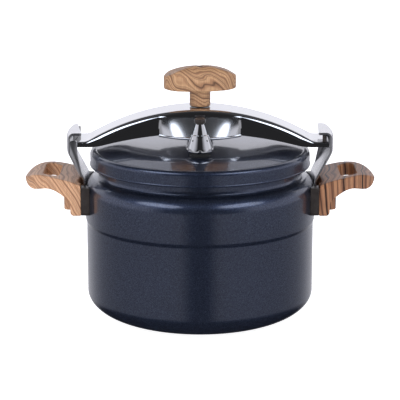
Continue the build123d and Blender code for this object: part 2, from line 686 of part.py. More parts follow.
def relief_spring():
    """Compression spring between the valve's disc and the top of its body."""
    wire_r = 0.45
    coil_r = 3.9
    line = Helix(pitch=1.5, height=4.5, radius=coil_r)
    section = Plane(origin=line @ 0, z_dir=line % 0) * Circle(wire_r)
    return Pos(0, RELIEF_Y, RELIEF_DISC_TOP_Z + wire_r + 0.15) * sweep(section, path=line)


def left_of(part):
    """The same piece on the left side, turned half round the pot."""
    return Rot(0, 0, 180) * part


def nodes():
    """Every sub-part by name."""
    spacer = handle_spacer()
    grip = handle()
    studs = handle_studs()
    nuts = handle_nuts()
    rivets = bracket_rivets()
    pad = hook_pad()
    return {
        "pot_body": pot_body(),
        "bracket_right": bracket(1, 122.6, 125.8),
        "bracket_left": left_of(bracket(1, 130.6, 122.4)),
        "hook_pad_right": pad,
        "hook_pad_left": left_of(pad),
        "bracket_rivets_right": rivets,
        "bracket_rivets_left": left_of(rivets),
        "handle_spacer_right": spacer,
        "handle_spacer_left": left_of(spacer),
        "handle_right": grip,
        "handle_left": left_of(grip),
        "handle_studs_right": studs,
        "handle_studs_left": left_of(studs),
        "handle_nuts_right": nuts,
        "handle_nuts_left": left_of(nuts),
        "lid_shell": lid_shell(),
        "lid_gasket": lid_gasket(),
        "seat_cup": seat_cup(),
        "foot_retainer": foot_retainer(),
        "vent_pipe": vent_pipe(),
        "vent_seal": vent_seal(),
        "vent_nut": vent_nut(),
        "relief_body": relief_body(),
        "relief_seal": relief_seal(),
        "relief_nut": relief_nut(),
        "relief_spring": relief_spring(),
        "relief_pin": relief_pin(),
        "regulator_weight": regulator_weight(),
        "regulator_needle": regulator_needle(),
        "regulator_cap": regulator_cap(),
        "beam": beam(),
        "beam_bush": beam_bush(),
        "beam_washer": beam_washer(),
        "spindle": spindle(),
        "knob": knob(),
        "knob_insert": knob_insert(),
        "knob_screw": knob_screw(),
        "knob_plug": knob_plug(),
    }


os.makedirs("parts", exist_ok=True)
for name, shape in nodes().items():
    export_step(shape, f"parts/{name}.step")
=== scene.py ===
import math

import bmesh
import bpy
import numpy as np
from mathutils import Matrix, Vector


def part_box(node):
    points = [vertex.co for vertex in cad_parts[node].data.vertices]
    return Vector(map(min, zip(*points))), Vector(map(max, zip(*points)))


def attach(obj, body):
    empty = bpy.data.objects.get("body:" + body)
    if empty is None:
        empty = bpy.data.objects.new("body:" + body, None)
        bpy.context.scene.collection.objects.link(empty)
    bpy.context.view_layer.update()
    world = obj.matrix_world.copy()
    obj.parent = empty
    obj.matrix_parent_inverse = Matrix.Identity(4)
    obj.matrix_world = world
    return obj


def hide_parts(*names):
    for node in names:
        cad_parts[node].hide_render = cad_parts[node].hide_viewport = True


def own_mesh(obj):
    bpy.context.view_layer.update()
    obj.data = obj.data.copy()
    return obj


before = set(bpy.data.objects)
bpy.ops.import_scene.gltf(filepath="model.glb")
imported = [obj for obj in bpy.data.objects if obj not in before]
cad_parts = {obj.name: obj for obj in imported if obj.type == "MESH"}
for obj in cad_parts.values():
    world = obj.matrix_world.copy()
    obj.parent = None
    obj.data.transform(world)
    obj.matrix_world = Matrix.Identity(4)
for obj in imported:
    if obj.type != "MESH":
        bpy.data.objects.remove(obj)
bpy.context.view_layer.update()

MM = 0.001
TAU = 2 * math.pi


# ---------------------------------------------------------------- node helpers


def add(tree, kind, inputs=None, **settings):
    """Adds a shader node, sets its properties, and sets or links its inputs."""
    made = tree.nodes.new("ShaderNode" + kind)
    for key, value in settings.items():
        setattr(made, key, value)
    for key, value in (inputs or {}).items():
        if isinstance(value, bpy.types.NodeSocket):
            tree.links.new(value, made.inputs[key])
        else:
            made.inputs[key].default_value = value
    return made


def ramp(tree, factor, stops, interpolation="LINEAR"):
    """Colour ramp through (position, colour) stops; a plain number is a grey."""
    made = add(tree, "ValToRGB", {"Fac": factor})
    band = made.color_ramp
    band.interpolation = interpolation
    while len(band.elements) < len(stops):
        band.elements.new(1.0)
    for element, (place, colour) in zip(band.elements, stops):
        if not hasattr(colour, "__len__"):
            colour = (colour, colour, colour)
        element.position = place
        element.color = (*colour, 1.0)
    return made.outputs["Color"]


def math_node(tree, operation, first, second=0.0):
    made = add(tree, "Math", {0: first, 1: second}, operation=operation)
    return made.outputs[0]


def mix_colour(tree, factor, first, second, blend="MIX"):
    made = add(tree, "Mix", data_type="RGBA", blend_type=blend)
    for socket, value in zip((made.inputs[0], made.inputs[6], made.inputs[7]), (factor, first, second)):
        if isinstance(value, bpy.types.NodeSocket):
            tree.links.new(value, socket)
        else:
            socket.default_value = value if not hasattr(value, "__len__") else (*value, 1.0)
    return made.outputs[2]


def new_material(name, **constants):
    """A Principled material; constants are set on the shader's own sockets."""
    material = bpy.data.materials.new(name)
    material.use_nodes = True
    tree = material.node_tree
    tree.nodes.clear()
    out = tree.nodes.new("ShaderNodeOutputMaterial")
    shader = tree.nodes.new("ShaderNodeBsdfPrincipled")
    tree.links.new(shader.outputs[0], out.inputs[0])
    for key, value in constants.items():
        shader.inputs[key.replace("_", " ")].default_value = value
    return material, tree, shader


def place_coords(tree, scale=(1.0, 1.0, 1.0), rotation=(0.0, 0.0, 0.0), location=(0.0, 0.0, 0.0)):
    coords = add(tree, "TexCoord").outputs["Object"]
    mapped = add(tree, "Mapping", {"Vector": coords, "Scale": scale, "Location": location,
                                   "Rotation": [math.radians(a) for a in rotation]})
    return mapped.outputs["Vector"]


def noise(tree, coords, scale, detail=3.0, roughness=0.5, distortion=0.0):
    made = add(tree, "TexNoise", {"Vector": coords, "Scale": scale, "Detail": detail,
                                  "Roughness": roughness, "Distortion": distortion})
    return made.outputs["Fac"]


def bump(tree, shader, height, strength, distance, socket="Normal"):
    made = add(tree, "Bump", {"Height": height, "Strength": strength, "Distance": distance})
    tree.links.new(made.outputs["Normal"], shader.inputs[socket])


# ---------------------------------------------------------------- materials


def navy_paint():
    """Dark navy enamel with a fine metallic fleck under a clear gloss."""
    material, tree, shader = new_material(
        "navy_paint", Metallic=0.9, IOR=1.5, Coat_Weight=1.0, Coat_Roughness=0.07, Coat_IOR=1.55)
    coords = place_coords(tree)
    flecks = add(tree, "TexVoronoi", {"Vector": coords, "Scale": 2100.0})
    fleck = ramp(tree, add(tree, "SeparateColor", {0: flecks.outputs["Color"]}).outputs[0],
                 [(0.0, (0.028, 0.036, 0.066)), (0.5, (0.050, 0.065, 0.115)),
                  (0.85, (0.072, 0.094, 0.160)), (1.0, (0.115, 0.150, 0.240))])
    cloud = noise(tree, coords, 14.0, 2.0)
    tinted = mix_colour(tree, math_node(tree, "MULTIPLY", cloud, 0.35), fleck, (0.050, 0.058, 0.098))
    tree.links.new(tinted, shader.inputs["Base Color"])
    tree.links.new(ramp(tree, flecks.outputs["Distance"], [(0.0, 0.27), (1.0, 0.37)]), shader.inputs["Roughness"])
    bump(tree, shader, flecks.outputs["Distance"], 0.25, 0.0002)
    bump(tree, shader, noise(tree, coords, 260.0, 2.0), 0.035, 0.0003, "Coat Normal")
    return material


def chrome(name="chrome", low=0.025, high=0.07, tone=(0.86, 0.865, 0.875)):
    """Polished plate with faint hazing and hairline scratches."""
    material, tree, shader = new_material(name, Metallic=1.0)
    coords = place_coords(tree)
    haze = noise(tree, coords, 55.0, 4.0, 0.6)
    tree.links.new(ramp(tree, haze, [(0.3, low), (0.75, high)]), shader.inputs["Roughness"])
    dull = tuple(c * 0.95 for c in tone)
    tree.links.new(ramp(tree, noise(tree, coords, 21.0, 2.0), [(0.3, tone), (0.8, dull)]),
                   shader.inputs["Base Color"])
    scratches = noise(tree, place_coords(tree, scale=(1.0, 7.0, 7.0)), 170.0, 4.0, 0.7)
    bump(tree, shader, scratches, 0.012, 0.0003)
    return material


def beam_chrome():
    """The beam's plate, hazed where the flange was stretched into the flare."""
    material = chrome("beam_chrome")
    tree = material.node_tree
    shader = next(node for node in tree.nodes if node.type == "BSDF_PRINCIPLED")
    polish = shader.inputs["Roughness"].links[0].from_socket
    parts = add(tree, "SeparateXYZ", {0: place_coords(tree)})
    across = math_node(tree, "MULTIPLY", math_node(tree, "ABSOLUTE", parts.outputs[0]), 10.0)
    haze = ramp(tree, across, [(0.0, 0.17), (0.38, 0.17), (0.46, 0.0)])
    below = math_node(tree, "LESS_THAN", parts.outputs[2], 0.2145)
    hazed = math_node(tree, "ADD", polish, math_node(tree, "MULTIPLY", haze, below))
    tree.links.new(hazed, shader.inputs["Roughness"])
    return material


def turned_metal(name, tone, low=0.22, high=0.36):
    """Machined metal with fine rings of tool marks across Z."""
    material, tree, shader = new_material(name, Metallic=1.0)
    rings = noise(tree, place_coords(tree, scale=(60.0, 60.0, 2600.0)), 1.0, 3.0, 0.6)
    stain = noise(tree, place_coords(tree), 90.0, 3.0)
    dark = tuple(c * 0.72 for c in tone)
    tree.links.new(ramp(tree, stain, [(0.3, dark), (0.65, tone)]), shader.inputs["Base Color"])
    tree.links.new(ramp(tree, rings, [(0.3, low), (0.7, high)]), shader.inputs["Roughness"])
    bump(tree, shader, rings, 0.12, 0.0002)
    return material


def phenolic(name, dark, light, low=0.32, high=0.46):
    """Moulded heat-resistant plastic with a faint pebble and rubbed tone."""
    material, tree, shader = new_material(name, IOR=1.5, Coat_Weight=0.15, Coat_Roughness=0.25)
    coords = place_coords(tree)
    mottled = noise(tree, coords, 130.0, 5.0, 0.65)
    tree.links.new(ramp(tree, mottled, [(0.3, dark), (0.72, light)]), shader.inputs["Base Color"])
    tree.links.new(ramp(tree, mottled, [(0.3, high), (0.7, low)]), shader.inputs["Roughness"])
    bump(tree, shader, noise(tree, coords, 900.0, 3.0, 0.6), 0.15, 0.0003)
    return material


def rubber(name, dark, light):
    """Soft matt rubber with a dusty variation."""
    material, tree, shader = new_material(name, IOR=1.45, Specular_IOR_Level=0.35, Sheen_Weight=0.08)
    coords = place_coords(tree)
    dust = noise(tree, coords, 160.0, 5.0, 0.7)
    tree.links.new(ramp(tree, dust, [(0.35, dark), (0.75, light)]), shader.inputs["Base Color"])
    tree.links.new(ramp(tree, dust, [(0.3, 0.55), (0.8, 0.75)]), shader.inputs["Roughness"])
    bump(tree, shader, noise(tree, coords, 1400.0, 2.0), 0.2, 0.0002)
    return material


def wood(name, rotation, location, wavelength, wander, tones, line_share=0.5, swirl=1.5):
    """Printed wood-effect grain: flowing bands across local X, fibres along local Z."""
    material, tree, shader = new_material(name, IOR=1.46, Coat_Weight=0.25, Coat_Roughness=0.28)
    flat = place_coords(tree, rotation=rotation, location=location)
    parts = add(tree, "SeparateXYZ", {0: flat})
    drift = noise(tree, place_coords(tree, (1.0, 1.0, 0.55), rotation, location), 15.0, 1.0, 0.4, swirl)
    wobble = noise(tree, place_coords(tree, (1.0, 1.0, 0.30), rotation, location), 70.0, 2.0, 0.5, 0.3)
    moved = math_node(tree, "ADD", parts.outputs[0], math_node(
        tree, "MULTIPLY", math_node(tree, "SUBTRACT", drift, 0.5), wander))
    moved = math_node(tree, "ADD", moved, math_node(
        tree, "MULTIPLY", math_node(tree, "SUBTRACT", wobble, 0.5), wander * 0.08))
    turns = math_node(tree, "MULTIPLY", moved, 1.0 / wavelength)
    band = math_node(tree, "PINGPONG", turns, 1.0)
    fine = math_node(tree, "PINGPONG", math_node(tree, "MULTIPLY", turns, 2.7), 1.0)
    light, middle, dark, line = tones
    broad = ramp(tree, band, [(0.0, middle), (0.25, light), (0.6, light), (0.86, middle), (1.0, dark)], "EASE")
    narrow = ramp(tree, fine, [(0.0, 1.0), (0.66, 1.0), (0.88, 0.55), (1.0, 0.28)])
    toned = mix_colour(tree, 0.75, broad, narrow, "MULTIPLY")
    lines = ramp(tree, math_node(tree, "PINGPONG", math_node(tree, "MULTIPLY", turns, 0.61), 1.0),
                 [(0.0, 0.0), (0.88, 0.0), (0.95, line_share), (1.0, line_share)], "EASE")
    toned = mix_colour(tree, lines, toned, line)
    fibres = noise(tree, place_coords(tree, (1.0, 1.0, 0.045), rotation, location), 1300.0, 4.0, 0.7)
    toned = mix_colour(tree, ramp(tree, fibres, [(0.35, 0.5), (0.62, 0.0)]), toned, dark)
    tree.links.new(toned, shader.inputs["Base Color"])
    tree.links.new(ramp(tree, fibres, [(0.3, 0.58), (0.7, 0.40)]), shader.inputs["Roughness"])
    bump(tree, shader, fibres, 0.10, 0.0003)
    return material


LEFT_TONES = ((0.60, 0.350, 0.205), (0.45, 0.235, 0.125), (0.25, 0.115, 0.060), (0.100, 0.042, 0.026))
RIGHT_TONES = ((0.36, 0.170, 0.082), (0.21, 0.085, 0.040), (0.075, 0.028, 0.015), (0.014, 0.006, 0.005))
KNOB_TONES = ((0.50, 0.290, 0.150), (0.34, 0.175, 0.088), (0.180, 0.085, 0.045), (0.080, 0.036, 0.022))

MATERIALS = {
    "navy_paint": navy_paint(),
    "chrome": chrome(),
    "beam_chrome": beam_chrome(),
    "bracket_chrome": chrome("bracket_chrome", 0.24, 0.34, (0.92, 0.92, 0.93)),
    "steel": turned_metal("steel", (0.58, 0.575, 0.56)),
    "brass": turned_metal("brass", (0.72, 0.52, 0.22)),
    "black_phenolic": phenolic("black_phenolic", (0.013, 0.010, 0.009), (0.034, 0.027, 0.025)),
    "brown_phenolic": phenolic("brown_phenolic", (0.050, 0.022, 0.012), (0.095, 0.045, 0.026)),
    "black_rubber": rubber("black_rubber", (0.006, 0.006, 0.007), (0.020, 0.020, 0.021)),
    "silicone": rubber("silicone", (0.52, 0.52, 0.50), (0.68, 0.68, 0.65)),
    "wood_left": wood("wood_left", (0.0, 38.0, 0.0), (0.0, 0.0, 0.0), 0.0042, 0.020, LEFT_TONES, 0.45),
    "wood_right": wood("wood_right", (0.0, 4.0, 8.0), (0.013, 0.0, 0.05), 0.0056, 0.014, RIGHT_TONES, 1.0),
    "wood_knob": wood("wood_knob", (35.0, 62.0, 20.0), (0.03, 0.0, 0.0), 0.0046, 0.044, KNOB_TONES, 0.55, 3.2),
}


# ---------------------------------------------------------------- mesh helpers


def finish_piece(name, mesh, material, body, nodes, sharp=35.0):
    """Makes the object, smooths it apart from its sharp edges, and puts it on its body."""
    piece = bpy.data.objects.new(name, mesh)
    bpy.context.scene.collection.objects.link(piece)
    mesh.materials.clear()
    mesh.materials.append(MATERIALS[material])
    mesh.shade_smooth()
    mesh.set_sharp_from_angle(angle=math.radians(sharp))
    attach(piece, body)
    if nodes:
        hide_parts(*nodes)
    return piece


def build_mesh(name, points, faces):
    """Mesh from points in millimetres, with its normals turned outward."""
    mesh = bpy.data.meshes.new(name)
    mesh.from_pydata([tuple(c * MM for c in p) for p in points], [], faces)
    shape = bmesh.new()
    shape.from_mesh(mesh)
    bmesh.ops.remove_doubles(shape, verts=shape.verts, dist=1e-7)
    bmesh.ops.recalc_face_normals(shape, faces=shape.faces)
    shape.to_mesh(mesh)
    shape.free()
    return mesh


def merged(name, meshes):
    """One mesh holding all of these."""
    shape = bmesh.new()
    for mesh in meshes:
        shape.from_mesh(mesh)
    mesh = bpy.data.meshes.new(name)
    shape.to_mesh(mesh)
    shape.free()
    return mesh


def arc(cx, cz, radius, start, end, steps=10, radius_z=None):
    """Points of an arc, angles in degrees from +X towards +Z, both ends kept."""
    out = []
    for k in range(steps + 1):
        a = math.radians(start + (end - start) * k / steps)
        out.append((cx + radius * math.cos(a), cz + (radius_z or radius) * math.sin(a)))
    return out


def rounded(points, radii, steps=5, closed=True):
    """Replaces each corner of a polyline by a small arc; radii has one radius for each point."""
    out = []
    count = len(points)
    for k, point in enumerate(points):
        radius = radii[k] if hasattr(radii, "__len__") else radii
        if radius <= 0 or (not closed and k in (0, count - 1)):
            out.append(tuple(point))
            continue
        here = Vector(point)
        back = (Vector(points[k - 1]) - here)
        ahead = (Vector(points[(k + 1) % count]) - here)
        half = back.angle(ahead) / 2
        if half > math.radians(88):
            out.append(tuple(point))
            continue
        reach = min(radius / math.tan(half), back.length * 0.49, ahead.length * 0.49)
        radius = reach * math.tan(half)
        middle = here + (back.normalized() + ahead.normalized()).normalized() * (radius / math.sin(half))
        first = here + back.normalized() * reach - middle
        last = here + ahead.normalized() * reach - middle
        for j in range(steps + 1):
            t = j / steps
            angle = first.angle(last)
            a = math.sin((1 - t) * angle) / math.sin(angle)
            b = math.sin(t * angle) / math.sin(angle)
            out.append(tuple(middle + first * a + last * b))
    return out


def lathe(name, profile, segments=160, centre=(0.0, 0.0), radius_of=None):
    """Turned mesh from a closed loop of (radius, height) points in millimetres."""
    points, rows = [], []
    for r, z in profile:
        if r < 1e-6:
            rows.append([len(points)] * segments)
            points.append((centre[0], centre[1], z))
            continue
        row = []
        for k in range(segments):
            a = TAU * k / segments
            rr = radius_of(r, z, a) if radius_of else r
            row.append(len(points))
            points.append((centre[0] + rr * math.cos(a), centre[1] + rr * math.sin(a), z))
        rows.append(row)
    faces = []
    for k in range(len(rows)):
        a, b = rows[k], rows[(k + 1) % len(rows)]
        for j in range(segments):
            i = (j + 1) % segments
            face = []
            for v in (a[j], a[i], b[i], b[j]):
                if v not in face:
                    face.append(v)
            if len(face) > 2:
                faces.append(face)
    return build_mesh(name, points, faces)


def grid_faces(rows, columns, start=0, wrap=False):
    faces = []
    for i in range(rows - 1):
        for j in range(columns if wrap else columns - 1):
            k = (j + 1) % columns
            faces.append((start + i * columns + j, start + i * columns + k,
                          start + (i + 1) * columns + k, start + (i + 1) * columns + j))
    return faces


def swept_loops(name, loops):
    """Closed solid through equal closed loops of points, with flat ends."""
    points = [p for loop in loops for p in loop]
    columns = len(loops[0])
    faces = grid_faces(len(loops), columns, wrap=True)
    faces.append(tuple(range(columns)))
    last = (len(loops) - 1) * columns
    faces.append(tuple(range(last, last + columns)))
    return build_mesh(name, points, faces)


def applied(mesh, *modifiers):
    """The mesh after modifiers, given as (type, settings)."""
    temp = bpy.data.objects.new("temp", mesh)
    bpy.context.scene.collection.objects.link(temp)
    for kind, settings in modifiers:
        modifier = temp.modifiers.new(kind, kind)
        for key, value in settings.items():
            setattr(modifier, key, value)
    bpy.context.view_layer.update()
    graph = bpy.context.evaluated_depsgraph_get()
    out = bpy.data.meshes.new_from_object(temp.evaluated_get(graph))
    bpy.data.objects.remove(temp)
    return out


def bevelled(mesh, width, segments=3, angle=30.0):
    return applied(mesh, ("BEVEL", {"width": width * MM, "segments": segments, "limit_method": "ANGLE",
                                    "angle_limit": math.radians(angle), "use_clamp_overlap": True}))


def welded(node):
    """A copy of a CAD node's mesh with its split corners joined."""
    shape = bmesh.new()
    shape.from_mesh(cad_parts[node].data)
    bmesh.ops.remove_doubles(shape, verts=shape.verts, dist=2e-6)
    mesh = bpy.data.meshes.new(node + "_copy")
    shape.to_mesh(mesh)
    shape.free()
    return mesh


def softened(node, width, segments=3):
    """The CAD shape with its sharp edges rounded over."""
    shape = bmesh.new()
    shape.from_mesh(welded(node))
    bmesh.ops.dissolve_limit(shape, angle_limit=math.radians(0.6), verts=shape.verts, edges=shape.edges)
    mesh = bpy.data.meshes.new(node + "_soft")
    shape.to_mesh(mesh)
    shape.free()
    return bevelled(mesh, width, segments)


def moulded(node, voxel, passes):
    """The CAD shape remeshed finely and relaxed, so that its edges are moulded radii."""
    return applied(welded(node),
                   ("REMESH", {"mode": "VOXEL", "voxel_size": voxel * MM, "adaptivity": 0.0}),
                   ("SMOOTH", {"factor": 0.5, "iterations": passes}))


def box_of(node):
    low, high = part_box(node)
    return [c / MM for c in low], [c / MM for c in high]


# ---------------------------------------------------------------- pot


STEP_OUT = 1.2
STEP_LOW = 99.5
STEP_H = 5.0
BASE_FLAT_R = 78.0
BASE_CORNER_H = 25.0
SHOULDER_R = 17.0
SHOULDER_H = 133.0
WALL = 3.0
NECK_R = 106.0
RIM_LIP_R = 109.5


def pot_profile():
    """Flat base, rounded corner, wall with a small step outward, shoulder, neck and rim lip."""
    (_, _, base), (upper, _, rim) = box_of("pot_body")
    body = upper - STEP_OUT
    shoulder = base + SHOULDER_H
    corner = base + BASE_CORNER_H
    out = [(0.0, base), (40.0, base), (70.0, base)]
    out += arc(BASE_FLAT_R, corner, body - BASE_FLAT_R, -90, 0, 28, BASE_CORNER_H)
    out += [(body, base + 60.0)]
    for k in range(9):
        share = 0.5 - 0.5 * math.cos(math.pi * k / 8)
        out.append((body + (upper - body) * share, base + STEP_LOW + STEP_H * k / 8))
    out += [(upper, base + 118.0)]
    out += arc(upper - SHOULDER_R, shoulder, SHOULDER_R, 0, 72, 18)
    out += [(NECK_R + 1.6, base + 150.4), (NECK_R + 0.6, base + 152.0), (NECK_R + 0.1, base + 154.2),
            (NECK_R, base + 157.0)]
    out += rounded([(NECK_R, base + 158.0), (NECK_R, rim - 4.5), (RIM_LIP_R, rim - 3.0), (RIM_LIP_R, rim),
                    (NECK_R - WALL, rim), (NECK_R - WALL, base + 147.0)], [0, 1.2, 0.8, 1.2, 1.2, 0], 5, False)
    out += arc(upper - SHOULDER_R, shoulder, SHOULDER_R - WALL, 85, 0, 10)
    out += [(upper - WALL, base + 104.0), (body - WALL, base + 100.0)]
    out += arc(BASE_FLAT_R, corner, body - BASE_FLAT_R - WALL, 0, -90, 16, BASE_CORNER_H - 5.0)
    out += [(0.0, base + 5.0)]
    return out


finish_piece("pot_shell", lathe("pot_shell", pot_profile(), 288), "navy_paint", "pot", ["pot_body"])


# ---------------------------------------------------------------- lid


LID_R = 115.5
LID_T = 3.0
LID_CORNER_R = 5.0
LID_SLOPE_R = 85.0
LID_DISH_R = 108.5
LID_DISH_Z = 176.2
LID_RIM_Z = 177.0


def lid_profile():
    """Flat crown, sloping shoulder, raised rim with a round corner, skirt and rolled bottom edge."""
    (_, _, low), (_, _, high) = box_of("lid_shell")
    corner_r, corner_z = LID_R - LID_CORNER_R, LID_RIM_Z - LID_CORNER_R
    out = rounded([(0.0, high), (LID_SLOPE_R, high), (LID_DISH_R, LID_DISH_Z), (LID_DISH_R + 0.8, LID_RIM_Z),
                   (corner_r, LID_RIM_Z)], [0, 150.0, 0.6, 0.9, 0], 24, False)[:-1]
    out += arc(corner_r, corner_z, LID_CORNER_R, 90, 0, 12)
    out += [(LID_R, LID_RIM_Z - 8.0), (LID_R, low + 3.2)]
    out += arc(LID_R - 0.7, low + 1.3, 1.3, 55, -200, 12)
    out += [(LID_R - LID_T, low + 4.0), (LID_R - LID_T, corner_z)]
    out += arc(corner_r, corner_z, LID_CORNER_R - LID_T, 0, 90, 5)
    out += [(LID_DISH_R, LID_DISH_Z - LID_T), (LID_SLOPE_R, high - LID_T), (0.0, high - LID_T)]
    return out


finish_piece("lid_pressing", lathe("lid_pressing", lid_profile(), 288), "navy_paint", "lid",
             ["lid_shell"])


# ---------------------------------------------------------------- beam

BEAM_HALF_L = 134.0
BEAM_HALF_W = 25.0
BEAM_T = 2.5
FLARE_HALF_L = 42.0
FLARE_OUT = 19.0
FLARE_LOW = 193.8
FLARE_TOP = 214.0
TOP_ARCH = (225.0, 221.5, 188.0, 15.0)
EDGE_ARCH = (400.0, 197.4, 182.7, 60.0)


def arch_height(x, radius, crown, end, blend):
    """Height of an arch that runs through a reverse curve into level ends."""
    centre = crown - radius
    flat_x = math.sqrt((radius + blend) ** 2 - (end + blend - centre) ** 2)
    join_x = flat_x * radius / (radius + blend)
    x = abs(x)
    if x <= join_x:
        return centre + math.sqrt(radius ** 2 - x ** 2)
    if x >= flat_x:
        return end
    return end + blend - math.sqrt(blend ** 2 - (flat_x - x) ** 2)


def flare(x, z):
    """How far the flange stands out beyond its straight run."""
    if abs(x) >= FLARE_HALF_L:
        return 0.0
    radius = (FLARE_HALF_L ** 2 + FLARE_OUT ** 2) / (2 * FLARE_OUT)
    bottom = math.sqrt(radius ** 2 - x ** 2) - (radius - FLARE_OUT)
    top = 0.6 * (1 - (x / FLARE_HALF_L) ** 2)
    t = min(1.0, max(0.0, (FLARE_TOP - z) / (FLARE_TOP - FLARE_LOW)))
    return top + (bottom - top) * t


def beam_section(x, inset):
    """Half section from the flange's lower edge up over the rounding to the middle of the top."""
    top = arch_height(x, *TOP_ARCH) - inset
    edge = arch_height(x, *EDGE_ARCH)
    if abs(x) < FLARE_HALF_L:
        edge = min(edge, FLARE_LOW)
    width = BEAM_HALF_W - inset
    height = top - edge
    turn = max(1.0, min(7.5 - inset, height * 0.62) if height > 8 else height * 0.62)
    turn = min(turn, 4.6 + 0.045 * abs(x))
    points = []
    flange_top = top - turn
    for t in np.linspace(0.0, 1.0, 15):
        z = edge + (flange_top - edge) * t
        points.append((x, width + flare(x, z), z))
    for k in range(1, 11):
        a = math.radians(90 * k / 10)
        z = flange_top + turn * math.sin(a)
        lean = flare(x, flange_top) * (1 - k / 10) ** 2
        points.append((x, width - turn + turn * math.cos(a) + lean, z))
    for t in np.linspace(0.0, 1.0, 9)[1:]:
        points.append((x, (width - turn) * (1 - t), top))
    return points


def beam_mesh():
    fine = np.concatenate([
        np.linspace(-BEAM_HALF_L, -FLARE_HALF_L, 75)[:-1],
        np.linspace(-FLARE_HALF_L, FLARE_HALF_L, 85)[:-1],
        np.linspace(FLARE_HALF_L, BEAM_HALF_L, 75),
    ])
    points, skins = [], []
    for inset, wall in ((0.0, 0.0), (BEAM_T, BEAM_T)):
        start = len(points)
        columns = 0
        for x in fine:
            x = max(-BEAM_HALF_L + wall, min(BEAM_HALF_L - wall, float(x)))
            half = beam_section(x, inset)
            whole = [(px, -py, pz) for px, py, pz in half] + half[::-1][1:]
            columns = len(whole)
            points += whole
        skins.append((start, columns))
    rows = len(fine)
    faces = []
    for start, columns in skins:
        faces += grid_faces(rows, columns, start)
        faces.append(tuple(range(start, start + columns)))
        faces.append(tuple(range(start + (rows - 1) * columns, start + rows * columns)))
    outer, inner = skins[0][0], skins[1][0]
    columns = skins[0][1]
    for side in (0, columns - 1):
        for i in range(rows - 1):
            a, b = i * columns + side, (i + 1) * columns + side
            faces.append((outer + a, outer + b, inner + b, inner + a))
    for end in (0, (rows - 1) * columns):
        faces.append((outer + end, outer + end + columns - 1, inner + end + columns - 1, inner + end))
    return build_mesh("beam_skin", points, faces)


def flare_lip(side):
    """Rolled edge round the bottom of the flare."""
    radius = (FLARE_HALF_L ** 2 + FLARE_OUT ** 2) / (2 * FLARE_OUT)
    middle = BEAM_HALF_W + FLARE_OUT - radius
    half_turn = math.asin(FLARE_HALF_L / radius)
    loops = []
    for a in np.linspace(-half_turn, half_turn, 61):
        loop = []
        for k in range(14):
            b = TAU * k / 14
            r = radius - 0.5 + 1.5 * math.cos(b)
            loop.append((r * math.sin(a), side * (middle + r * math.cos(a)), FLARE_LOW + 1.35 + 1.35 * math.sin(b)))
        loops.append(loop)
    return swept_loops("lip", loops)


def with_hole(mesh, radius, x, y, low, high):
    """The mesh with a vertical round hole cut through it."""
    cutter_mesh = lathe("cutter", [(0, low), (radius, low), (radius, high), (0, high)], 64, (x, y))
    cutter = bpy.data.objects.new("cutter", cutter_mesh)
    bpy.context.scene.collection.objects.link(cutter)
    out = applied(mesh, ("BOOLEAN", {"operation": "DIFFERENCE", "object": cutter, "solver": "EXACT"}))
    bpy.data.objects.remove(cutter)
    return out


finish_piece("beam_pressing", with_hole(beam_mesh(), 9.9, 0.0, 0.0, 200.0, 230.0), "beam_chrome", "beam",
             ["beam"], 32.0)
for side, name in ((-1, "front"), (1, "back")):
    finish_piece("flare_lip_" + name, flare_lip(side), "chrome", "beam", [])


# ---------------------------------------------------------------- brackets

WEB_R = 139.6
BRACKET_T = 2.5
BRACKET_HALF_W = 25.0
STOP_Y = 27.9


def bracket_web(hook_minus_x, hook_plus_x, turned_half):
    """Tab, leaning web and hook of one bracket, curved round the pot."""
    inner_r = WEB_R - BRACKET_T
    tab = 121.3
    inner = rounded([(tab, 118.0), (tab, 146.5), (inner_r, 177.5), (inner_r, 195.5), (125.0, 195.5)],
                    [0, 4, 7, 4, 0], 9, False)
    outer = rounded([(tab + BRACKET_T, 118.0), (tab + BRACKET_T, 145.9), (WEB_R, 176.9), (WEB_R, 198.0),
                     (125.0, 198.0)], [0, 4, 9.5, 6.5, 0], 9, False)
    loops = []
    for v in np.linspace(0.0, 1.0, 33):
        loop = []
        for path, bend_r in ((outer, WEB_R - 6.5), (inner[::-1], inner_r - 4)):
            dense = []
            for a, b in zip(path[:-1], path[1:]):
                steps = max(1, int(math.dist(a, b) / 3.0))
                for k in range(steps):
                    dense.append((a[0] + (b[0] - a[0]) * k / steps, a[1] + (b[1] - a[1]) * k / steps))
            dense.append(path[-1])
            for r, z in dense:
                blend = min(1.0, max(0.0, (z - 144.0) / 8.0))
                y = -BRACKET_HALF_W + (BRACKET_HALF_W * 2 + (STOP_Y - BRACKET_HALF_W) * blend) * v
                if z > 190.0 and r < bend_r:
                    edge = hook_minus_x + (hook_plus_x - hook_minus_x) * (y + 30.0) / 60.0
                    bend = math.sqrt(bend_r ** 2 - y ** 2)
                    share = (bend_r - r) / (bend_r - 125.0)
                    x = bend + (edge - bend) * share
                else:
                    x = math.sqrt(r ** 2 - y ** 2)
                loop.append((x, y, z))
        loops.append(loop)
    if turned_half:
        loops = [[(-x, -y, z) for x, y, z in loop] for loop in loops]
    return bevelled(swept_loops("web", loops), 0.45, 2, 50.0)


def stop_flange(turned_half):
    """Narrow flange turned in from one edge of the web, which stops the beam's arm."""
    outline = rounded([(WEB_R - 2.9, 188.6), (WEB_R - 12.0, 191.0), (WEB_R - 12.5, 175.5), (122.4, 152.0),
                       (124.6, 150.6), (WEB_R - 2.9, 176.6)], [2.0, 2.5, 9.0, 1.0, 1.0, 6.0], 5)
    loops = [[(x, y, z) for x, z in outline] for y in (STOP_Y - BRACKET_T, STOP_Y)]
    if turned_half:
        loops = [[(-x, -y, z) for x, y, z in loop] for loop in loops]
    return bevelled(swept_loops("stop", loops), 0.45, 2, 50.0)


